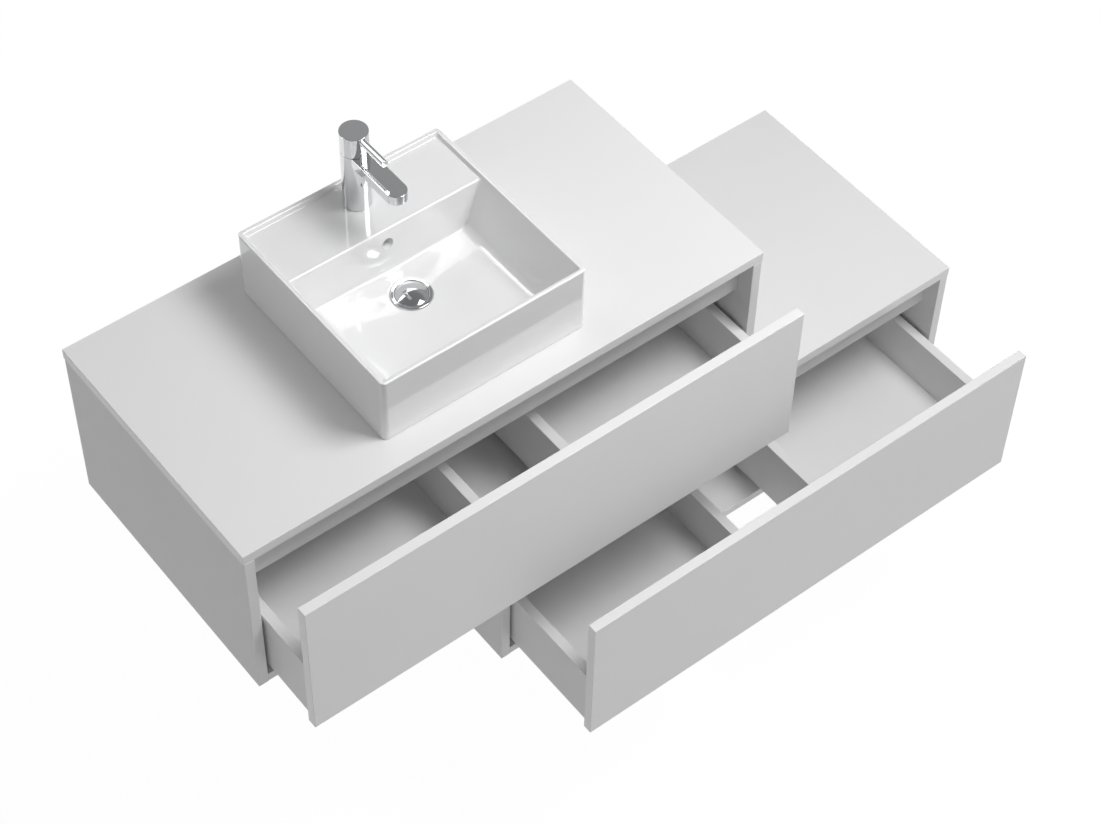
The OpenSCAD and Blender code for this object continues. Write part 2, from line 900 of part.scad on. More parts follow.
module waste_body() {
    ring_z = seat_z + seat_play;
    bore_r = waste_tail_r - tail_wall;
    color("silver") to_waste() {
        difference() {
            union() {
                translate([0, 0, ring_z]) cylinder(r = waste_ring_r, h = ring_h);
                translate([0, 0, tail_end_z])
                    cylinder(r = waste_tail_r, h = ring_z - tail_end_z + ring_wall);
            }
            translate([0, 0, tail_end_z - over])
                cylinder(r = bore_r, h = basin_h - tail_end_z);
            translate([0, 0, ring_z + ring_wall])
                cylinder(r = plug_r + seat_play, h = ring_h);
            translate([-overflow_slot_w / 2, -waste_ring_r, duct_low])
                cube([overflow_slot_w, 2 * waste_ring_r, overflow_slot_h]);
        }
        translate([0, 0, guide_z]) difference() {
            union() {
                cylinder(r = guide_r, h = guide_h);
                for (turn = [0, 120, 240])
                    rotate([0, 0, turn]) translate([0, -guide_arm_w / 2, 0])
                        cube([waste_tail_r - tail_wall / 2, guide_arm_w, guide_h]);
            }
            translate([0, 0, -over])
                cylinder(r = plug_stem_r + turn_play, h = guide_h + 2 * over);
        }
    }
}

module waste_plug() {
    plug_z = seat_z + ring_wall + 2 * seat_play;
    dome_r = (plug_r * plug_r + plug_dome_h * plug_dome_h) / (2 * plug_dome_h);
    color("silver") to_waste() translate([0, 0, plug_z]) {
        cylinder(r = plug_r, h = plug_edge_h);
        intersection() {
            translate([0, 0, plug_edge_h + plug_dome_h - dome_r]) sphere(r = dome_r, $fn = 96);
            cylinder(r = plug_r, h = plug_edge_h + plug_dome_h + over);
        }
        translate([0, 0, -plug_stem_l]) cylinder(r = plug_stem_r, h = plug_stem_l);
    }
}

module waste_gasket() {
    color("dimgrey") to_waste() translate([0, 0, hub_low - gasket_h]) difference() {
        cylinder(r = gasket_r, h = gasket_h);
        translate([0, 0, -over])
            cylinder(r = waste_tail_r + seat_play, h = gasket_h + 2 * over);
    }
}

module waste_nut() {
    color("silver") to_waste() translate([0, 0, hub_low - gasket_h - waste_nut_h]) difference() {
        cylinder(r = waste_nut_r, h = waste_nut_h, $fn = 6);
        translate([0, 0, -over])
            cylinder(r = waste_tail_r + fit_play, h = waste_nut_h + 2 * over);
    }
}

module trap_inlet() {
    coupling_z = tail_end_z - coupling_floor;
    dip_z = bottle_top_z - bottle_h * dip_share;
    color("silver") to_waste() difference() {
        union() {
            translate([0, 0, coupling_z]) cylinder(r = coupling_r, h = coupling_h);
            translate([0, 0, dip_z]) cylinder(r = pipe_r, h = coupling_z - dip_z + over);
        }
        translate([0, 0, tail_end_z - seat_play])
            cylinder(r = waste_tail_r + fit_play, h = coupling_h);
        translate([0, 0, dip_z - over])
            cylinder(r = pipe_r - pipe_wall, h = tail_end_z - dip_z + over);
    }
}

module trap_bottle() {
    color("silver") to_waste() difference() {
        union() {
            translate([0, 0, bottle_top_z - bottle_h]) cylinder(r = bottle_r, h = bottle_h);
            translate([0, 0, bottle_top_z - bottle_h * bottle_ring_share])
                cylinder(r = bottle_r + bottle_ring_w, h = bottle_ring_h);
            translate([0, 0, bottle_top_z - over]) cylinder(r = neck_r, h = neck_h + over);
            translate([0, 0, -outlet_drop]) rotate([-90, 0, 0])
                cylinder(r = collar_r, h = bottle_r + collar_l);
        }
        translate([0, 0, bottle_top_z - bottle_h + bottle_wall])
            cylinder(r = bottle_r - bottle_wall, h = bottle_h - 2 * bottle_wall);
        translate([0, 0, bottle_top_z - 2 * bottle_wall])
            cylinder(r = pipe_r + fit_play, h = neck_h + 2 * bottle_wall + over);
        translate([0, 0, -outlet_drop]) rotate([-90, 0, 0])
            cylinder(r = pipe_r - pipe_wall, h = bottle_r + collar_l);
        translate([0, bottle_r, -outlet_drop]) rotate([-90, 0, 0])
            cylinder(r = pipe_r + fit_play, h = collar_l + over);
    }
}

// A rolled bead stops the pipe at the bottle's collar
module trap_outlet() {
    start_y = bottle_r + seat_play;
    pipe_l = module_d - basin_y - waste_from_front - start_y;
    color("silver") to_waste() translate([0, start_y, -outlet_drop]) rotate([-90, 0, 0])
        difference() {
            union() {
                cylinder(r = pipe_r, h = pipe_l);
                translate([0, 0, collar_l]) cylinder(r = bead_r, h = bead_w);
            }
            translate([0, 0, -over]) cylinder(r = pipe_r - pipe_wall, h = pipe_l + 2 * over);
        }
}

module tap_body() {
    spout_l = spout_reach - spout_w / 2;
    color("lightsteelblue") to_tap() difference() {
        union() {
            translate([0, 0, deck_z + tap_seal_h])
                cylinder(r = tap_r, h = tap_body_h - tap_seal_h);
            translate([0, 0, deck_z - shank_l])
                cylinder(r = shank_r, h = shank_l + tap_seal_h + over);
            translate([0, -spout_l, seam_z - spout_t]) {
                cylinder(r = spout_w / 2, h = spout_t);
                translate([-spout_w / 2, 0, 0]) cube([spout_w, spout_l, spout_t]);
            }
        }
        translate([0, 0, seam_z - cartridge_drop - cartridge_h])
            cylinder(r = cartridge_r + fit_play, h = cartridge_h + cartridge_drop + over);
        translate([0, 0, seam_z - chamber_drop])
            cylinder(r = chamber_r, h = chamber_drop - chamber_lip);
        translate([0, 0, seam_z - spout_t / 2]) rotate([90, 0, 0])
            cylinder(r = spout_bore_r, h = spout_l);
        translate([0, -spout_l, seam_z - spout_t - over])
            cylinder(r = aerator_r + fit_play, h = aerator_in + fit_play + over);
        for (x = [-inlet_x, inlet_x])
            translate([x, 0, deck_z - shank_l - over])
                cylinder(r = inlet_r, h = shank_l + tap_body_h - cartridge_h + over);
    }
}

module tap_base_seal() {
    color("dimgrey") to_tap() translate([0, 0, deck_z]) difference() {
        cylinder(r = tap_r - tap_seal_inset, h = tap_seal_h);
        translate([0, 0, -over]) cylinder(r = shank_r + seat_play, h = tap_seal_h + 2 * over);
    }
}

module tap_fixing_nut() {
    color("silver") to_tap() translate([0, 0, deck_z - deck_t - tap_nut_h]) difference() {
        cylinder(r = tap_nut_r, h = tap_nut_h, $fn = 6);
        translate([0, 0, -over]) cylinder(r = shank_r + fit_play, h = tap_nut_h + 2 * over);
    }
}

module tap_aerator() {
    aerator_h = aerator_in + aerator_out;
    color("silver") to_tap()
        translate([0, -spout_reach + spout_w / 2, seam_z - spout_t - aerator_out]) difference() {
            cylinder(r = aerator_r, h = aerator_h);
            translate([0, 0, -over])
                cylinder(r = aerator_bore_r, h = aerator_h - aerator_web + over);
            for (turn = [0:60:300])
                rotate([0, 0, turn]) translate([aerator_hole_ring_r, 0, 0])
                    cylinder(r = aerator_hole_r, h = aerator_h + over);
            cylinder(r = aerator_hole_r, h = aerator_h + over);
        }
}

module tap_cartridge() {
    color("white") to_tap() translate([0, 0, seam_z - cartridge_drop - cartridge_h]) difference() {
        cylinder(r = cartridge_r, h = cartridge_h);
        translate([0, 0, cartridge_floor]) cylinder(
            r = cartridge_r - cartridge_wall,
            h = cartridge_h - cartridge_floor - cartridge_lid
        );
        cylinder(r = stem_r + turn_play, h = cartridge_h + over);
        for (turn = [0:90:270])
            rotate([0, 0, turn])
                translate([0, 0, cartridge_h + cartridge_drop - chamber_drop / 2])
                    rotate([90, 0, 0]) cylinder(r = cartridge_port_r, h = cartridge_r + over);
    }
}

// The stem turns in the cartridge. Its rear lug holds the pin on which the
// cap lifts.
module tap_stem() {
    color("silver") to_tap() {
        translate([0, 0, seam_z - stem_foot_drop]) {
            cylinder(r = stem_r, h = stem_foot_drop + stem_rise);
            cylinder(r = stem_foot_r, h = stem_foot_h);
        }
        translate([-lug_w / 2, 0, seam_z + pivot_rise - pivot_boss_r])
            cube([lug_w, pivot_y, 2 * pivot_boss_r]);
        translate([0, pivot_y, seam_z + pivot_rise]) rotate([0, 90, 0]) {
            translate([0, 0, -lug_w / 2]) cylinder(r = pivot_boss_r, h = lug_w);
            translate([0, 0, -pivot_pin_l / 2]) cylinder(r = pivot_pin_r, h = pivot_pin_l);
        }
    }
}

// The cap is hollow over the stem, and relieved behind the pin so that it
// clears the body when it lifts
module tap_cap() {
    hollow_r = tap_r - cap_wall;
    ear_x = lug_w / 2 + ear_gap;
    color("lightsteelblue") to_tap() difference() {
        union() {
            difference() {
                translate([0, 0, cap_z]) cylinder(r = tap_r, h = tap_cap_h);
                translate([0, 0, cap_z - over])
                    cylinder(r = hollow_r, h = tap_cap_h - cap_solid_h + over);
            }
            intersection() {
                translate([0, 0, cap_z]) cylinder(r = tap_r, h = tap_cap_h - over);
                for (x = [-ear_x - ear_w, ear_x])
                    translate([x, pivot_y - pivot_boss_r, seam_z + pivot_rise])
                        cube([ear_w, 2 * pivot_boss_r, tap_cap_h]);
            }
            for (x = [-ear_x - ear_w, ear_x])
                translate([x, pivot_y, seam_z + pivot_rise]) rotate([0, 90, 0])
                    cylinder(r = pivot_boss_r, h = ear_w);
        }
        translate([-pivot_pin_l / 2 - fit_play, pivot_y, seam_z + pivot_rise]) rotate([0, 90, 0])
            cylinder(r = pivot_pin_r + turn_play, h = pivot_pin_l + 2 * fit_play);
        translate([0, -tap_r + lever_socket, lever_z]) rotate([90, 0, 0])
            cylinder(r = lever_r + fit_play, h = lever_socket + over);
        translate([0, pivot_y, seam_z + pivot_rise]) rotate([lever_lift, 0, 0])
            translate([-tap_r - over, -2 * tap_r, -tap_r])
                cube([2 * tap_r + 2 * over, 4 * tap_r, tap_r - pivot_rise + lift_margin]);
    }
}

module tap_lever() {
    rod_l = lever_reach - tap_r + lever_socket - fit_play - lever_end_ease;
    color("silver") to_tap() translate([0, -tap_r + lever_socket - fit_play, lever_z])
        rotate([90, 0, 0]) {
            cylinder(r = lever_r, h = rod_l);
            translate([0, 0, rod_l])
                cylinder(r1 = lever_r, r2 = lever_r - lever_end_ease, h = lever_end_ease);
        }
}

basin();
waste_body();
waste_plug();
waste_nut();
waste_gasket();
trap_inlet();
trap_bottle();
trap_outlet();
tap_body();
tap_base_seal();
tap_fixing_nut();
tap_aerator();
tap_cartridge();
tap_stem();
tap_cap();
tap_lever();
spacers();  // module_spacers
joining_bolts();  // module_bolts
top_board(UPPER);  // upper_top_board
side_left(UPPER);  // upper_side_left
side_right(UPPER);  // upper_side_right
bottom_board(UPPER);  // upper_bottom_board
front_rail(UPPER);  // upper_front_rail
rear_rails(UPPER);  // upper_rear_rails
hangers(UPPER);  // upper_hangers
wall_plates(UPPER);  // upper_wall_plates
carcass_fittings(UPPER);  // upper_carcass_fittings
cabinet_members(UPPER);  // upper_cabinet_members
middle_members(UPPER);  // upper_middle_members
drawer_members(UPPER);  // upper_drawer_members
drawer_front(UPPER);  // upper_drawer_front
drawer_side_left(UPPER);  // upper_drawer_side_left
drawer_side_right(UPPER);  // upper_drawer_side_right
drawer_dividers(UPPER);  // upper_drawer_dividers
drawer_backs(UPPER);  // upper_drawer_backs
drawer_floors(UPPER);  // upper_drawer_floors
drawer_dowels(UPPER);  // upper_drawer_dowels
latch_housing(UPPER);  // upper_latch_housing
latch_plunger(UPPER);  // upper_latch_plunger
top_board(LOWER);  // lower_top_board
side_left(LOWER);  // lower_side_left
side_right(LOWER);  // lower_side_right
bottom_board(LOWER);  // lower_bottom_board
front_rail(LOWER);  // lower_front_rail
rear_rails(LOWER);  // lower_rear_rails
hangers(LOWER);  // lower_hangers
wall_plates(LOWER);  // lower_wall_plates
carcass_fittings(LOWER);  // lower_carcass_fittings
cabinet_members(LOWER);  // lower_cabinet_members
middle_members(LOWER);  // lower_middle_members
drawer_members(LOWER);  // lower_drawer_members
drawer_front(LOWER);  // lower_drawer_front
drawer_side_left(LOWER);  // lower_drawer_side_left
drawer_side_right(LOWER);  // lower_drawer_side_right
drawer_dividers(LOWER);  // lower_drawer_dividers
drawer_backs(LOWER);  // lower_drawer_backs
drawer_floors(LOWER);  // lower_drawer_floors
drawer_dowels(LOWER);  // lower_drawer_dowels
latch_housing(LOWER);  // lower_latch_housing
latch_plunger(LOWER);  // lower_latch_plunger
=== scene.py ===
# Floating vanity with its drawers part open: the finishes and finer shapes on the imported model.
import json
import math

import bmesh
import bpy
from mathutils import Matrix, Vector

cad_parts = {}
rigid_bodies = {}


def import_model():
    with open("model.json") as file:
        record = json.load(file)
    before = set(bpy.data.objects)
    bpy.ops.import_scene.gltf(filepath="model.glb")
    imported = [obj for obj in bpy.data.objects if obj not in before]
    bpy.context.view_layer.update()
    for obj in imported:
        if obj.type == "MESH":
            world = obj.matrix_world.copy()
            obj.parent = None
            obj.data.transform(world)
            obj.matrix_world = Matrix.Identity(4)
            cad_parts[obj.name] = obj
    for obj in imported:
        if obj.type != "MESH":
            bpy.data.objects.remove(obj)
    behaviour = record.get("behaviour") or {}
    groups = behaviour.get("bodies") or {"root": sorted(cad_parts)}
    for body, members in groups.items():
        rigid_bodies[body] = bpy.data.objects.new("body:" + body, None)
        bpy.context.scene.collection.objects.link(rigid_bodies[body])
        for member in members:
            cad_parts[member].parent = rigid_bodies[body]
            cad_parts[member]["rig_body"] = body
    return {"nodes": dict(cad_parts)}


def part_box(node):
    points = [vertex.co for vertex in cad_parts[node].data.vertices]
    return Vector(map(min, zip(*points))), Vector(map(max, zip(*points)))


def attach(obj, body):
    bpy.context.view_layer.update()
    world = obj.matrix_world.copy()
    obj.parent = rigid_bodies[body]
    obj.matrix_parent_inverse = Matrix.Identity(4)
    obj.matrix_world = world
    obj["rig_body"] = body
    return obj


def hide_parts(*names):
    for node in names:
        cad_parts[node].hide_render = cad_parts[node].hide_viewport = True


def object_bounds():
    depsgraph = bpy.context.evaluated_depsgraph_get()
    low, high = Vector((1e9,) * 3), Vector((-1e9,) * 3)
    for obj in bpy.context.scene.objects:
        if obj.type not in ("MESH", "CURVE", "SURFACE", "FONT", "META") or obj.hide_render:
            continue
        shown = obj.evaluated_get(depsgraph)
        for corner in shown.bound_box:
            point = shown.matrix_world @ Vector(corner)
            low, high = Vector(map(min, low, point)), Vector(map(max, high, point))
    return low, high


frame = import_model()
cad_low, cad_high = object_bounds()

# Camera. It stands above the left front corner and looks down on the vanity. Its place was
# solved from the boards' long edges in the photograph. It has no shift, so that every other view
# stays centred on the object.
photo_camera = bpy.data.objects.new("photo_camera", bpy.data.cameras.new("photo_camera"))
bpy.context.scene.collection.objects.link(photo_camera)
photo_camera.data.sensor_width = 36
photo_camera.data.lens = 86.3714
photo_camera.location = (-1.41858, -2.27486, 2.88081)
photo_camera.rotation_euler = [math.radians(turn) for turn in (39.3228, -0.9003, -37.9321)]
bpy.context.scene.camera = photo_camera

# Top boards and drawer fronts. Each is a moisture-proof chipboard panel in a white satin
# lacquer, sprayed and baked, with eased edges. The lacquer has a faint orange peel.
mm = 0.001


def linear(colour):
    """The linear colour of an sRGB hex value."""
    parts = [int(colour[at : at + 2], 16) / 255 for at in (1, 3, 5)]
    return (*[p / 12.92 if p <= 0.04045 else ((p + 0.055) / 1.055) ** 2.4 for p in parts], 1)


def add(material, kind, inputs=None, **settings):
    """One node of a material, with its settings, and its inputs set or joined."""
    node = material.node_tree.nodes.new("ShaderNode" + kind)
    for name, value in settings.items():
        setattr(node, name, value)
    for name, value in (inputs or {}).items():
        if isinstance(value, bpy.types.NodeSocket):
            material.node_tree.links.new(value, node.inputs[name])
        else:
            node.inputs[name].default_value = value
    return node


def new_finish(name, **sockets):
    """A material, its shader, and the piece's coordinates in millimetres."""
    material = bpy.data.materials.new(name)
    material.use_nodes = True
    material.node_tree.nodes.clear()
    shader = add(material, "BsdfPrincipled", {k.replace("_", " "): v for k, v in sockets.items()})
    add(material, "OutputMaterial", {"Surface": shader.outputs[0]})
    place = add(material, "TexCoord").outputs["Object"]
    scaled = add(material, "Mapping", {"Vector": place, "Scale": (1000, 1000, 1000)})
    return material, shader, scaled.outputs[0]


def vary(material, shader, socket, source, low, high):
    """Joins a 0 to 1 pattern to a shader socket, as numbers or colours from low to high."""
    if isinstance(low, str):
        # A Mix node's colours are its inputs 6 and 7 and its output 2
        mix = add(material, "Mix", {0: source, 6: linear(low), 7: linear(high)}, data_type="RGBA")
        material.node_tree.links.new(mix.outputs[2], shader.inputs[socket])
    else:
        spread = add(material, "MapRange", {"Value": source, "To Min": low, "To Max": high})
        material.node_tree.links.new(spread.outputs[0], shader.inputs[socket])


def raise_by(material, shader, height, depth):
    """Joins a 0 to 1 height to the shader's normal, as a relief of that depth in mm."""
    relief = add(material, "Bump", {"Height": height, "Strength": 1, "Distance": depth * mm})
    material.node_tree.links.new(relief.outputs[0], shader.inputs["Normal"])


def board_finish(name, dark, light, roughness, grain_wide, grain_deep):
    """A white board: a slight cloud in its tone, slight wear in its sheen, and a fine grain. The
    grain's width and depth are in millimetres."""
    cloud_wide, wear_wide, smoother, rougher = 180, 24, 0.04, 0.05
    material, shader, place = new_finish(name)
    cloud = add(material, "TexNoise", {"Vector": place, "Scale": 1 / cloud_wide, "Detail": 3})
    wear = add(material, "TexNoise", {"Vector": place, "Scale": 1 / wear_wide, "Detail": 4})
    grain = add(material, "TexNoise", {"Vector": place, "Scale": 1 / grain_wide, "Detail": 2})
    vary(material, shader, "Base Color", cloud.outputs[0], dark, light)
    vary(
        material, shader, "Roughness", wear.outputs[0], roughness - smoother, roughness + rougher
    )
    raise_by(material, shader, grain.outputs[0], grain_deep)
    return material


def finished(node, ease, slot, *finishes, shortest=6.0, band=19.0, part=lambda place: 1.0):
    """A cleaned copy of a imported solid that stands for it. Its sharp edges over the shortest
    length are eased, each by its part of the whole ease, and its long faces that are narrower
    than the band take the second finish. Lengths are in millimetres."""
    weld, flat_turn, sharp_turn, long_face = 0.002, math.radians(0.5), math.radians(35), 60.0
    solid = frame["nodes"][node]
    mesh = bpy.data.meshes.new(node + "_finished")
    work = bmesh.new()
    work.from_mesh(solid.data)
    bmesh.ops.remove_doubles(work, verts=work.verts, dist=weld * mm)
    bmesh.ops.dissolve_limit(work, angle_limit=flat_turn, verts=work.verts, edges=work.edges)
    work.normal_update()
    weight = work.edges.layers.float.new("bevel_weight_edge")
    for edge in work.edges:
        sharp = len(edge.link_faces) == 2 and edge.calc_face_angle(0) > sharp_turn
        eased = sharp and edge.calc_length() > shortest * mm
        middle = (edge.verts[0].co + edge.verts[1].co) / 2
        edge[weight] = part(middle) if eased else 0.0
        edge.smooth = eased or not sharp
    for face in work.faces:
        longest = max(edge.calc_length() for edge in face.edges)
        narrow = longest > long_face * mm and face.calc_area() / longest < band * mm
        face.material_index = 1 if narrow and len(finishes) > 1 else 0
        face.smooth = True
    work.to_mesh(mesh)
    work.free()
    for layer in ("custom_normal", "UVMap"):
        if layer in mesh.attributes:
            mesh.attributes.remove(mesh.attributes[layer])
    for finish in finishes:
        mesh.materials.append(finish)
    piece = bpy.data.objects.new(node + "_finished", mesh)
    bpy.context.scene.collection.objects.link(piece)
    bevel = piece.modifiers.new("eased edges", "BEVEL")
    bevel.width, bevel.segments, bevel.limit_method = ease * mm, 3, "WEIGHT"
    bevel.use_clamp_overlap = False
    piece.modifiers.new("flat faces", "WEIGHTED_NORMAL").keep_sharp = True
    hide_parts(node)
    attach(piece, solid["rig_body"])


# Satin lacquer spreads a lamp into a wide soft glow. The narrow edges are sanded and sprayed once
# more, so they come out a little brighter and glossier.
satin_lacquer = board_finish("white_satin_lacquer", "#ECECEC", "#F0F0F0", 0.36, 2.6, 0.010)
lacquered_edge = board_finish("white_lacquered_edge", "#F0F0F0", "#F4F4F4", 0.30, 3.4, 0.008)
for level in ("upper", "lower"):
    finished(level + "_top_board", 1.0, "white_top_board", satin_lacquer, lacquered_edge)
    finished(level + "_drawer_front", 1.0, "white_drawer_front", satin_lacquer, lacquered_edge)

# Carcass boards: melamine-faced chipboard with smooth ABS edge banding ironed on, held together
# by the cam fittings. Melamine reads a little greyer and duller than lacquer. The fine pearl
# grain pressed into it is drawn about twice as wide as the real one, so that it shows.
melamine_face = board_finish("white_melamine_face", "#E6E6E6", "#EBEBEB", 0.50, 0.9, 0.012)
abs_banding = board_finish("white_abs_banding", "#ECECEC", "#F0F0F0", 0.34, 1.6, 0.006)
for level in ("upper", "lower"):
    for board in ("side_left", "side_right", "bottom_board", "front_rail", "rear_rails"):
        finished(level + "_" + board, 0.8, "white_carcass_board", melamine_face, abs_banding)

# Drawer boxes: two sides, two dividers, two backs and two floor panels each, glued with
# dowels. They are the same melamine board, a little brighter. The floors are thin panels with a
# slightly glossier face. Their whiter tone is painted light, which stands in for the light that
# bounces around inside the drawer.
drawer_face = board_finish("white_drawer_melamine", "#E8E8E8", "#EEEEEE", 0.46, 0.9, 0.010)
floor_face_painted_bright = board_finish("white_drawer_floor_painted_bright", "#EEEEEE", "#F3F3F3", 0.42, 1.4, 0.014)
for level in ("upper", "lower"):
    for board in ("side_left", "side_right", "dividers", "backs"):
        finished(
            level + "_drawer_" + board, 0.8, "white_drawer_board", drawer_face, abs_banding
        )
    finished(level + "_drawer_floors", 0.4, "white_drawer_board", floor_face_painted_bright, band=1.0)

# Dowels: turned beech, glued into the drawer boards' ends. They are out of sight once the boxes
# are built. The wood is a pale tan with fine darker fibres, and has no polish.
beech, shader, place = new_finish("beech_dowel", Roughness=0.62)
fibres_per_mm, fibre_stretch = 1.2, 0.06
stretched = add(beech, "Mapping", {"Vector": place, "Scale": (1, fibre_stretch, 1)})
grain = add(
    beech, "TexNoise", {"Vector": stretched.outputs[0], "Scale": fibres_per_mm, "Detail": 6}
)
vary(beech, shader, "Base Color", grain.outputs[0], "#C79A66", "#E0BC8C")
raise_by(beech, shader, grain.outputs[0], 0.05)
uneased = 99.0  # Longer than any edge of the small pieces, so that theirs stay sharp
for level in ("upper", "lower"):
    finished(level + "_drawer_dowels", 0.3, "beech_dowel", beech, shortest=uneased)

# Cam fittings, hangers, wall plates, spacers and bolts: steel with a bright zinc plating. The
# plating has a fine mottle and reads as a slightly blue, soft metal.
zinc, shader, place = new_finish("zinc_plated_steel", Metallic=1.0)
mottle_wide = 3
mottle = add(zinc, "TexNoise", {"Vector": place, "Scale": 1 / mottle_wide, "Detail": 5})
vary(zinc, shader, "Base Color", mottle.outputs[0], "#A9ADB2", "#C9CCCF")
vary(zinc, shader, "Roughness", mottle.outputs[0], 0.26, 0.40)
raise_by(zinc, shader, mottle.outputs[0], 0.02)
for level in ("upper", "lower"):
    finished(level + "_carcass_fittings", 0.3, "zinc_plated_steel", zinc, shortest=uneased)
    finished(level + "_hangers", 0.3, "zinc_plated_steel", zinc, shortest=9)
    finished(level + "_wall_plates", 0.3, "zinc_plated_steel", zinc, shortest=9)
finished("module_spacers", 0.3, "zinc_plated_steel", zinc, shortest=uneased)
finished("module_bolts", 0.3, "zinc_plated_steel", zinc, shortest=uneased)

# Runners: three rolled members on each side of each drawer, in galvanised strip. One is screwed
# to the carcass, one to the drawer box, and one runs between them. Rolling leaves faint lines
# along their length, and the zinc a dull crystal spangle.
galvanised, shader, place = new_finish("galvanised_runner_steel", Metallic=1.0)
lines_per_mm, line_stretch, spangle_wide = 0.9, 0.02, 7
rolled = add(galvanised, "Mapping", {"Vector": place, "Scale": (1, line_stretch, 1)})
lines = add(
    galvanised, "TexNoise", {"Vector": rolled.outputs[0], "Scale": lines_per_mm, "Detail": 5}
)
spangle = add(
    galvanised,
    "TexVoronoi",
    {"Vector": place, "Scale": 1 / spangle_wide},
    feature="SMOOTH_F1",
)
vary(galvanised, shader, "Base Color", spangle.outputs["Distance"], "#9EA2A5", "#BFC2C4")
vary(galvanised, shader, "Roughness", lines.outputs[0], 0.30, 0.46)
raise_by(galvanised, shader, lines.outputs[0], 0.02)
for level in ("upper", "lower"):
    for member in ("cabinet", "middle", "drawer"):
        finished(f"{level}_{member}_members", 0.25, "galvanised_runner_steel", galvanised)

# Push latches: a grey moulded plastic housing screwed to the bottom board, with a plunger that
# the closed front pushes in. The mould's spark-eroded surface leaves a fine even matt.
grey_plastic, shader, place = new_finish("grey_moulded_plastic")
pit_wide = 0.6
spark = add(grey_plastic, "TexNoise", {"Vector": place, "Scale": 1 / pit_wide, "Detail": 3})
vary(grey_plastic, shader, "Base Color", spark.outputs[0], "#8F9294", "#9A9D9F")
vary(grey_plastic, shader, "Roughness", spark.outputs[0], 0.42, 0.52)
raise_by(grey_plastic, shader, spark.outputs[0], 0.02)
for level in ("upper", "lower"):
    finished(level + "_latch_housing", 0.5, "grey_plastic", grey_plastic, shortest=5)
    finished(level + "_latch_plunger", 0.3, "grey_plastic", grey_plastic, shortest=uneased)

# Basin: slip-cast fireclay under a white glaze, fired in one piece, standing on the top board.
# The glaze rounds every edge and gathers in the corners, and it mirrors what is near. Its sizes
# are in millimetres from the basin's lower front left corner.
basin_at, basin_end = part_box("basin")
basin_w, basin_h = (basin_end.x - basin_at.x) / mm, (basin_end.z - basin_at.z) / mm
rim, deck_drop, deck_t, clay_t = 7.0, 7.0, 12.5, 9.0
deck_z = basin_h - deck_drop
bowl_edge_z, floor_fall, seat_deep, side_foot = 36.0, 9.0, 1.5, 41.0
bowl_low, bowl_high, rear_top = (side_foot, 21.0), (basin_w - side_foot, 227.0), 232.0
waste_lip_z, waste_lip_r, waste_hole_r, tap_hole_r = bowl_edge_z - floor_fall, 31.1, 22.5, 17.5
waste_seat_z = waste_lip_z - seat_deep
under_bowl_z, under_deck_y, under_deck_z = waste_seat_z - clay_t, 254.0, deck_z - deck_t
overflow_z, overflow_r, overflow_deep, overflow_step = 84.0, 9.5, 17.0, 0.4


def place_in_basin(node):
    """The middle of a CAD piece from above, in millimetres from the basin's corner."""
    low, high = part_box(node)
    place = ((low + high) / 2 - basin_at) / mm
    return round(place.x, 2), round(place.y, 2)


def at_height(foot, top, height):
    """A bowl wall's place at a height, from its places at the floor and at the rim."""
    return foot + (top - foot) * (height - bowl_edge_z) / (basin_h - bowl_edge_z)


def add_ring(clay, face):
    """Adds a narrow ring of faces inside a face, whose own points are then placed."""
    bmesh.ops.inset_region(clay, faces=[face], thickness=0.2)


def sink(clay, face, low, high, height):
    """Steps a four-sided face down or up to a level rectangle."""
    add_ring(clay, face)
    middle = face.calc_center_median()
    for v in face.verts:
        v.co = (
            high[0] if v.co.x > middle.x else low[0],
            high[1] if v.co.y > middle.y else low[1],
            height,
        )


def split_face(clay, face, at_y):
    """Cuts a level face in two from left to right, and returns its front and its rear part."""
    made = bmesh.ops.bisect_plane(
        clay, geom=[face, *face.edges, *face.verts], plane_co=(0, at_y, 0), plane_no=(0, 1, 0)
    )
    parts = [g for g in made["geom"] if isinstance(g, bmesh.types.BMFace)]
    return sorted(parts, key=lambda part: part.calc_center_median().y)


def step_ring(clay, face, centre, radius, height):
    """Steps a round face to a new radius and height."""
    add_ring(clay, face)
    for v in face.verts:
        out = Vector((v.co.x - centre[0], v.co.y - centre[1])).normalized() * radius
        v.co = (centre[0] + out.x, centre[1] + out.y, height)


def round_face(clay, face, centre, radius, sides=48):
    """Cuts a round face into a flat one, within a square a little larger, and returns it."""
    square_r, square_inset = radius * 1.3, radius * 0.1
    face.normal_update()
    centre, normal = Vector(centre), face.normal.copy()
    across = normal.orthogonal().normalized()
    if abs(normal.z) < 0.9:
        across = Vector((1, 0, 0))
    up = normal.cross(across)
    for way in (across, -across, up, -up):
        cut_at = centre + way * square_r
        made = bmesh.ops.bisect_plane(
            clay, geom=[face, *face.edges, *face.verts], plane_co=cut_at, plane_no=way
        )
        parts = [g for g in made["geom"] if isinstance(g, bmesh.types.BMFace)]
        face = min(parts, key=lambda part: (part.calc_center_median() - cut_at).dot(way))
    bmesh.ops.inset_region(clay, faces=[face], thickness=square_inset)
    bmesh.ops.bisect_edges(clay, edges=list(face.edges), cuts=sides // 4 - 1)
    for v in face.verts:
        v.co = centre + (v.co - centre).normalized() * radius
    return face


def open_hole(clay, upper, lower):
    """Joins a round face on top to one below it with a plain bore."""
    edges = [*upper.edges, *lower.edges]
    bmesh.ops.delete(clay, geom=[upper, lower], context="FACES_ONLY")
    bmesh.ops.bridge_loops(clay, edges=edges)


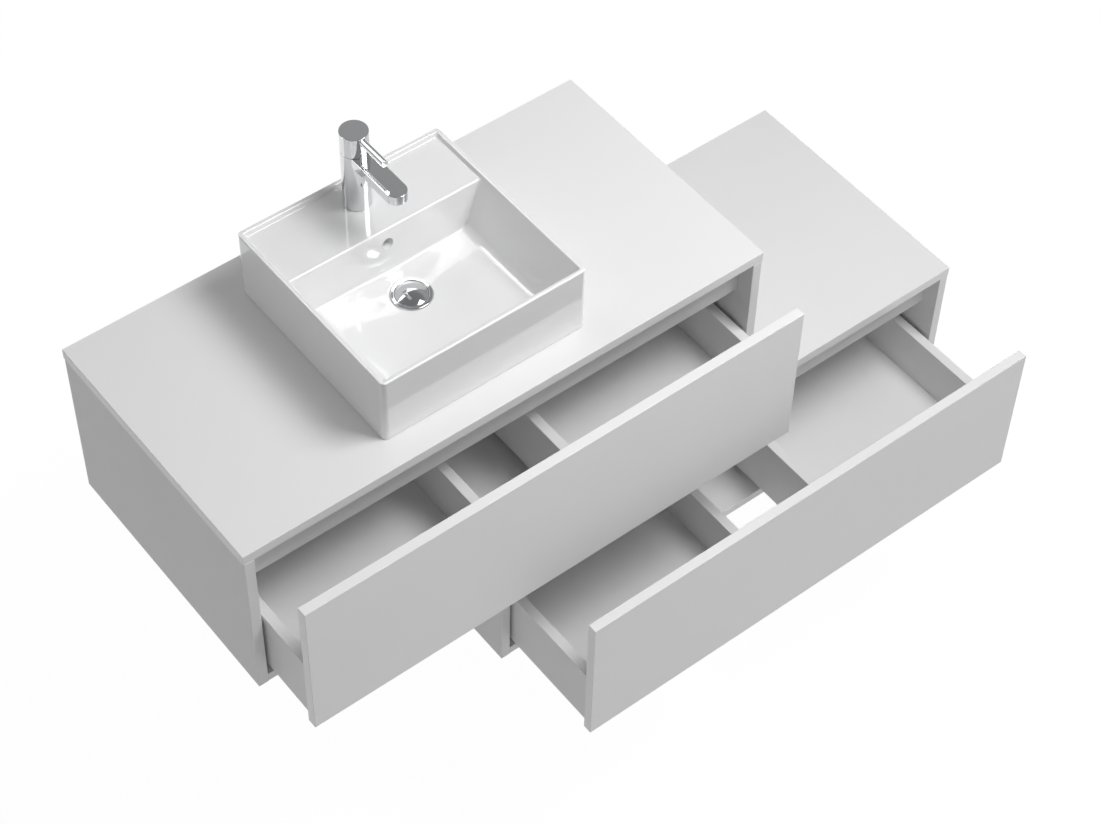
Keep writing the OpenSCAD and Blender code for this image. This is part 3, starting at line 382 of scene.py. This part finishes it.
clay = bmesh.new()
bmesh.ops.create_cube(
    clay,
    size=1,
    matrix=Matrix.Translation((basin_w / 2, basin_w / 2, basin_h / 2))
    @ Matrix.Diagonal((basin_w, basin_w, basin_h, 1)),
)
clay.faces.ensure_lookup_table()
top = max(clay.faces, key=lambda face: face.calc_center_median().z)
base = min(clay.faces, key=lambda face: face.calc_center_median().z)

# The rim, the sunk deck and the bowl, whose four walls lean in as they go down
bmesh.ops.inset_region(clay, faces=[top], thickness=rim, use_even_offset=True)
side_in, front_in = at_height(bowl_low[0], rim, deck_z), at_height(bowl_low[1], rim, deck_z)
deck_edge = at_height(bowl_high[1], rear_top, deck_z)
sink(clay, top, (side_in, front_in), (basin_w - side_in, basin_w - side_in), deck_z)
bowl_floor, deck = split_face(clay, top, deck_edge)
sink(clay, bowl_floor, bowl_low, bowl_high, bowl_edge_z)
clay.normal_update()

# Above and below the deck's level the bowl's walls are one plane, so the edges between go.
flat_bend = 0.01
flat = [
    edge
    for edge in clay.edges
    if len(edge.link_faces) == 2
    and edge.calc_face_angle() < flat_bend
    and edge not in deck.edges
]
bmesh.ops.dissolve_edges(clay, edges=flat, use_verts=True)

# The hollow under the clay, with the deck's own space behind the bowl
inner = basin_w - clay_t
bmesh.ops.inset_region(clay, faces=[base], thickness=clay_t, use_even_offset=True)
sink(clay, base, (clay_t, clay_t), (inner, inner), under_bowl_z)
under_bowl, under_deck = split_face(clay, base, under_deck_y)
sink(clay, under_deck, (clay_t, under_deck_y), (inner, inner), under_deck_z)

# The floor is a soft dish that falls to the waste, whose seat is a step down.
waste_at, tap_at = place_in_basin("waste_plug"), place_in_basin("tap_base_seal")
dish_r, floor_foot, floor_rings, waste_sides = 34.5, 10.0, 7, 64
corner_power, fall_power = 4, 1.25


def floor_point(out, inward):
    """The floor's point in one direction from the waste, a part of the way in from the walls. It
    starts a foot's width from the walls, and the dish's edge is a rectangle with round corners."""
    wide = (bowl_high[0] - waste_at[0] if out.x > 0 else waste_at[0] - bowl_low[0], abs(out.x))
    deep = (bowl_high[1] - waste_at[1] if out.y > 0 else waste_at[1] - bowl_low[1], abs(out.y))
    sides = [(reach, max(part, 1e-6)) for reach, part in (wide, deep)]
    start = min((reach - floor_foot) / part for reach, part in sides)
    rounded = sum((reach / part) ** -corner_power for reach, part in sides) ** (-1 / corner_power)
    from_waste = start + (dish_r - start) * inward
    level = min(1.0, (from_waste - dish_r) / (rounded - dish_r))
    place = Vector(waste_at) + out * from_waste
    return place.x, place.y, bowl_edge_z - floor_fall * (1 - level) ** fall_power


bmesh.ops.bisect_edges(clay, edges=list(bowl_floor.edges), cuts=waste_sides // 4 - 1)
for ring in range(floor_rings):
    add_ring(clay, bowl_floor)
    for v in bowl_floor.verts:
        out = (v.co.xy - Vector(waste_at)).normalized()
        v.co = floor_point(out, ring / (floor_rings - 1))
step_ring(clay, bowl_floor, waste_at, waste_lip_r, waste_lip_z)
step_ring(clay, bowl_floor, waste_at, waste_lip_r, waste_seat_z)
step_ring(clay, bowl_floor, waste_at, waste_hole_r, waste_seat_z)
waste_below = round_face(
    clay, under_bowl, (*waste_at, under_bowl_z), waste_hole_r, waste_sides
)
open_hole(clay, bowl_floor, waste_below)

# The tap hole and the overflow
tap_hole = round_face(clay, deck, (*tap_at, deck_z), tap_hole_r)
tap_below = round_face(clay, under_deck, (*tap_at, under_deck_z), tap_hole_r)
open_hole(clay, tap_hole, tap_below)
clay.normal_update()
facing_front = [face for face in clay.faces if face.normal.y < -0.9]
rear_wall = max(
    (f for f in facing_front if bowl_high[1] < f.calc_center_median().y < rear_top),
    key=lambda face: face.calc_area(),
)
overflow_at = (basin_w / 2, at_height(bowl_high[1], rear_top, overflow_z), overflow_z)
overflow = round_face(clay, rear_wall, overflow_at, overflow_r)
overflow_edges = list(overflow.edges)
bmesh.ops.inset_region(clay, faces=[overflow], thickness=overflow_step)
bmesh.ops.translate(clay, verts=overflow.verts, vec=(0, overflow_deep, 0))

# The glaze's roundings, as radii on the edges
glaze_r = {
    "outer corner": 9.0,
    "outer edge": 2.7,
    "rim": 1.8,
    "bowl corner": 3.4,
    "bowl foot": 9.5,
    "rear foot": 5.0,
    "deck front": 3.4,
    "deck foot": 1.3,
    "overflow": 1.6,
    "waste seat": 0.7,
    "hidden": 0.0,
}
largest = max(glaze_r.values())
least_bend, hard_bend, near = math.radians(12), math.radians(40), 0.05


def is_at(value, *places):
    """Whether a length is one of the given ones, or near enough."""
    return any(abs(value - place) < near for place in places)


def rounding_of(edge):
    """The name of the rounding that a sharp edge of the clay takes."""
    a, b = (v.co for v in edge.verts)
    middle, upright = (a + b) / 2, abs((b - a).normalized().z) > 0.5
    if is_at(middle.x, 0, basin_w) or is_at(middle.y, 0, basin_w):
        return "outer corner" if upright else "outer edge"
    if is_at(a.z, basin_h) and is_at(b.z, basin_h):
        return "rim"
    if edge in overflow_edges:
        return "overflow"
    if middle.z < bowl_edge_z - near or is_at(middle.z, under_deck_z):
        return "waste seat" if is_at(middle.z, waste_lip_z) else "hidden"
    if is_at(a.z, bowl_edge_z) and is_at(b.z, bowl_edge_z):
        return "rear foot" if is_at(middle.y, bowl_high[1]) else "bowl foot"
    if is_at(a.z, deck_z) and is_at(b.z, deck_z):
        return "deck front" if is_at(middle.y, deck_edge) else "deck foot"
    in_hollow = is_at(middle.x, clay_t, inner) or is_at(middle.y, under_deck_y)
    in_overflow = abs(middle.x - overflow_at[0]) < overflow_r
    return "bowl corner" if upright and not in_hollow and not in_overflow else "hidden"


clay.normal_update()
weight = clay.edges.layers.float.new("bevel_weight_edge")
for edge in clay.edges:
    angle = edge.calc_face_angle(0)
    if angle > least_bend:
        radius = glaze_r[rounding_of(edge)]
        edge[weight] = radius / largest
        edge.smooth = radius > 0 or angle < hard_bend
for face in clay.faces:
    face.smooth = True
bmesh.ops.transform(
    clay, matrix=Matrix.Translation(basin_at) @ Matrix.Scale(mm, 4), verts=clay.verts
)
basin_mesh = bpy.data.meshes.new("basin_glazed")
clay.to_mesh(basin_mesh)
clay.free()

# The glaze is clear glass over a white body: bright, with sharp reflections that waver a little
# where it ran and pooled.
china, shader, place = new_finish(
    "white_glazed_fireclay", IOR=1.52, Coat_Weight=0.6, Coat_Roughness=0.04, Coat_IOR=1.5
)
run_wide, pool_wide = 70, 16
run = add(china, "TexNoise", {"Vector": place, "Scale": 1 / run_wide, "Detail": 2})
pool = add(china, "TexNoise", {"Vector": place, "Scale": 1 / pool_wide, "Detail": 3})
vary(china, shader, "Base Color", run.outputs[0], "#EFEFEF", "#F4F4F4")
vary(china, shader, "Roughness", pool.outputs[0], 0.09, 0.14)
raise_by(china, shader, run.outputs[0], 0.06)
basin_mesh.materials.append(china)
basin = bpy.data.objects.new("basin_glazed", basin_mesh)
bpy.context.scene.collection.objects.link(basin)
rounding = basin.modifiers.new("glazed roundings", "BEVEL")
rounding.width, rounding.segments, rounding.limit_method = largest * mm, 5, "WEIGHT"
rounding.use_clamp_overlap = False
basin.modifiers.new("flat faces", "WEIGHTED_NORMAL").keep_sharp = True
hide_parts("basin")
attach(basin, "vanity")

# Waste: a turned brass ring and tail, chrome plated, with a domed push-open plug. The ring sits
# on its gasket in the basin's seat, and the nut below draws it tight. Chrome over polished
# brass is a cool grey mirror, and a fine polishing haze softens its highlights.
chrome, shader, place = new_finish("polished_chrome", Metallic=1.0)
haze_wide = 9
haze = add(chrome, "TexNoise", {"Vector": place, "Scale": 1 / haze_wide, "Detail": 4})
vary(chrome, shader, "Base Color", haze.outputs[0], "#D6D8DA", "#DEE0E1")
vary(chrome, shader, "Roughness", haze.outputs[0], 0.05, 0.09)


def turned_finish(node, ease, slot, finish, **rest):
    """A cleaned copy of a packed turned solid, with all its sharp edges eased."""
    finished(node, ease, slot, finish, shortest=0.0, **rest)


def bead(place):
    """The ring's upper edges take the whole ease, and the tail's edges take a part of it."""
    ring_foot, tail_part = basin_at.z + (waste_lip_z + 0.5) * mm, 0.2
    return 1.0 if place.z > ring_foot else tail_part


turned_finish("waste_body", 1.4, "chrome_waste", chrome, part=bead)

# The plug is a disc with a shallow dome, on a stem, spun from its outline. Its heights are in
# millimetres from the stem's end.
plug_low, plug_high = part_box("waste_plug")
plug_r, plug_h = (plug_high.x - plug_low.x) / 2 / mm, (plug_high.z - plug_low.z) / mm
dome_rise, disc_t, stem_r, dome_steps, plug_sides, plug_ease = 6.0, 1.4, 4.0, 12, 96, 0.4
dome_foot = plug_h - dome_rise
disc_foot = dome_foot - disc_t
dome_r = (plug_r**2 + dome_rise**2) / (2 * dome_rise)
outline = []
for step in range(dome_steps + 1):
    radius = plug_r * step / dome_steps
    outline.append((radius, plug_h - dome_r + math.sqrt(dome_r**2 - radius**2)))
outline += [(plug_r, disc_foot), (stem_r, disc_foot), (stem_r, 0), (0, 0)]
plug = bmesh.new()
points = [plug.verts.new((radius, 0, height)) for radius, height in outline]
lines = [plug.edges.new(pair) for pair in zip(points, points[1:])]
bmesh.ops.spin(
    plug,
    geom=points + lines,
    axis=(0, 0, 1),
    cent=(0, 0, 0),
    angle=2 * math.pi,
    steps=plug_sides,
    use_merge=True,
)
bmesh.ops.remove_doubles(plug, verts=plug.verts, dist=0.001)
bmesh.ops.recalc_face_normals(plug, faces=plug.faces)
for face in plug.faces:
    face.smooth = True
plug_foot = Vector(((plug_low.x + plug_high.x) / 2, (plug_low.y + plug_high.y) / 2, plug_low.z))
bmesh.ops.transform(
    plug, matrix=Matrix.Translation(plug_foot) @ Matrix.Scale(mm, 4), verts=plug.verts
)
plug_mesh = bpy.data.meshes.new("waste_plug_turned")
plug.to_mesh(plug_mesh)
plug.free()
plug_mesh.materials.append(chrome)
plug_piece = bpy.data.objects.new("waste_plug_turned", plug_mesh)
bpy.context.scene.collection.objects.link(plug_piece)
bevel = plug_piece.modifiers.new("eased edges", "BEVEL")
bevel.width, bevel.segments, bevel.angle_limit = plug_ease * mm, 3, math.radians(30)
bevel.use_clamp_overlap = False
plug_piece.modifiers.new("flat faces", "WEIGHTED_NORMAL").keep_sharp = True
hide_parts("waste_plug")
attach(plug_piece, "plug")

# Nuts and the cap's stem: brass turned from bar and left bare, out of sight. It is a warm yellow
# metal, and the lathe leaves fine rings around each piece.
brass, shader, place = new_finish("turned_brass", Metallic=1.0)
ring_wide, ring_stretch = 0.8, 0.05
ringed = add(brass, "Mapping", {"Vector": place, "Scale": (ring_stretch, ring_stretch, 1)})
rings = add(brass, "TexNoise", {"Vector": ringed.outputs[0], "Scale": 1 / ring_wide, "Detail": 4})
vary(brass, shader, "Base Color", rings.outputs[0], "#BF9850", "#D0AC68")
vary(brass, shader, "Roughness", rings.outputs[0], 0.24, 0.36)
raise_by(brass, shader, rings.outputs[0], 0.01)
turned_finish("waste_nut", 0.4, "brass_fitting", brass)

# Trap: a bottle trap under the basin, of chrome-plated brass. Its inlet tube comes down from the
# waste's tail, and its outlet tube runs back to the wall.
for node in ("trap_inlet", "trap_bottle", "trap_outlet"):
    turned_finish(node, 0.6, "chrome_trap", chrome)

# Tap: a cast brass body with its spout in one, machined, polished and chrome plated. The cap
# carries the lever rod and hides the cartridge.
for node, ease in (("tap_body", 0.8), ("tap_cap", 0.5), ("tap_lever", 0.3), ("tap_aerator", 0.3)):
    turned_finish(node, ease, "chrome_tap", chrome)
for node in ("tap_stem", "tap_fixing_nut"):
    turned_finish(node, 0.3, "brass_fitting", brass)

# Seals and cartridge: black moulded rubber under the tap and the waste's ring, and a white
# moulded plastic cartridge inside the tap. Rubber is near black, with a dull bloom that takes
# away any shine.
rubber, shader, place = new_finish("black_rubber")
bloom_wide = 2
bloom = add(rubber, "TexNoise", {"Vector": place, "Scale": 1 / bloom_wide, "Detail": 4})
vary(rubber, shader, "Base Color", bloom.outputs[0], "#191919", "#262626")
vary(rubber, shader, "Roughness", bloom.outputs[0], 0.6, 0.75)
raise_by(rubber, shader, bloom.outputs[0], 0.03)
turned_finish("waste_gasket", 0.2, "black_rubber", rubber)
turned_finish("tap_base_seal", 0.12, "black_rubber", rubber)

# Acetal is a milky white with a faint cloud where it flowed into the mould.
acetal, shader, place = new_finish("white_moulded_acetal")
flow_wide = 4
flow = add(acetal, "TexNoise", {"Vector": place, "Scale": 1 / flow_wide, "Detail": 3})
vary(acetal, shader, "Base Color", flow.outputs[0], "#E4E4E0", "#ECECE8")
vary(acetal, shader, "Roughness", flow.outputs[0], 0.35, 0.45)
turned_finish("tap_cartridge", 0.2, "white_cartridge_plastic", acetal)

# Floor: a plain pale floor well below the vanity, which hangs on a wall. The camera, the chrome
# and the glaze see it as nine parts of white to one of the lit floor, which has the object's soft
# shadow. Seen from below it lets the view pass.
floor_drop, floor_reach, white_share, white_strength = 0.35, 30, 0.9, 1.07
floor_mesh = bpy.data.meshes.new("floor")
grid = bmesh.new()
bmesh.ops.create_grid(grid, x_segments=1, y_segments=1, size=floor_reach)
bmesh.ops.translate(grid, verts=grid.verts, vec=(0, 0, cad_low.z - floor_drop))
grid.to_mesh(floor_mesh)
grid.free()
floor = bpy.data.objects.new("floor", floor_mesh)
bpy.context.scene.collection.objects.link(floor)
pale = bpy.data.materials.new("pale_floor")
pale.use_nodes = True
pale.node_tree.nodes.clear()
ray = add(pale, "LightPath").outputs
seen = ray["Is Camera Ray"]
for kind in ("Is Glossy Ray", "Is Transmission Ray"):
    seen = add(pale, "Math", {0: seen, 1: ray[kind]}, operation="MAXIMUM").outputs[0]
white_part = add(pale, "Math", {0: seen, 1: white_share}, operation="MULTIPLY")
lit = add(pale, "BsdfDiffuse", {"Color": linear("#DFDFDF")})
white = add(pale, "Emission", {"Color": linear("#FFFFFF"), "Strength": white_strength})
mixed = add(pale, "MixShader", {0: white_part.outputs[0], 1: lit.outputs[0], 2: white.outputs[0]})
clear = add(pale, "BsdfTransparent")
below = add(pale, "NewGeometry").outputs["Backfacing"]
sided = add(pale, "MixShader", {0: below, 1: mixed.outputs[0], 2: clear.outputs[0]})
add(pale, "OutputMaterial", {"Surface": sided.outputs[0]})
floor_mesh.materials.append(pale)

# Lamps: one soft lamp high in front on the right, a weak one behind on the left, and a long
# narrow one behind that shows only as a reflection, at the foot of the bowl's right wall. Each
# has its watts, its length and width and its place.
lamps_aim, strip_roll = Vector((0.05, -0.25, 0)), -30
for name, watts, (length, width), place in (
    ("key_lamp", 48, (1.15, 1.15), (0.98, -1.27, 2.25)),
    ("back_lamp", 5, (0.7, 0.7), (-0.9, 1.9, 3.2)),
    ("strip_lamp", 16, (2.6, 0.55), (-0.77, 1.72, 2.93)),
):
    lamp = bpy.data.objects.new(name, bpy.data.lights.new(name, "AREA"))
    lamp.data.shape, lamp.data.size, lamp.data.size_y = "RECTANGLE", length, width
    lamp.data.energy, lamp.location = watts, place
    lamp.rotation_euler = (lamps_aim - lamp.location).to_track_quat("-Z", "Y").to_euler()
    bpy.context.scene.collection.objects.link(lamp)
strip_lamp = bpy.data.objects["strip_lamp"]
strip_lamp.rotation_euler.rotate_axis("Z", math.radians(strip_roll))
strip_lamp.visible_diffuse = False

# Room: pale and plain, and brighter low down than overhead, which the polished chrome shows. Each
# tone stands at its part of the way up, from level to straight overhead.
room_tones = ((0.0, 0.44), (0.3, 0.33), (0.68, 0.40), (0.8, 0.23), (1.0, 0.20))
room = bpy.data.worlds.new("pale_room")
bpy.context.scene.world = room
room.use_nodes = True
room.node_tree.nodes.clear()
way = add(room, "TexCoord").outputs["Generated"]
height = add(room, "SeparateXYZ", {"Vector": way}).outputs["Z"]
tone = add(room, "ValToRGB", {"Fac": height})
stops = tone.color_ramp.elements
for rise, grey in room_tones[1:-1]:
    stops.new(rise)
for stop, (rise, grey) in zip(stops, room_tones):
    stop.color = (grey, grey, grey, 1)
sky = add(room, "Background", {"Color": tone.outputs[0], "Strength": 1})
add(room, "OutputWorld", {"Surface": sky.outputs[0]})

bpy.context.scene.view_settings.view_transform = "Standard"
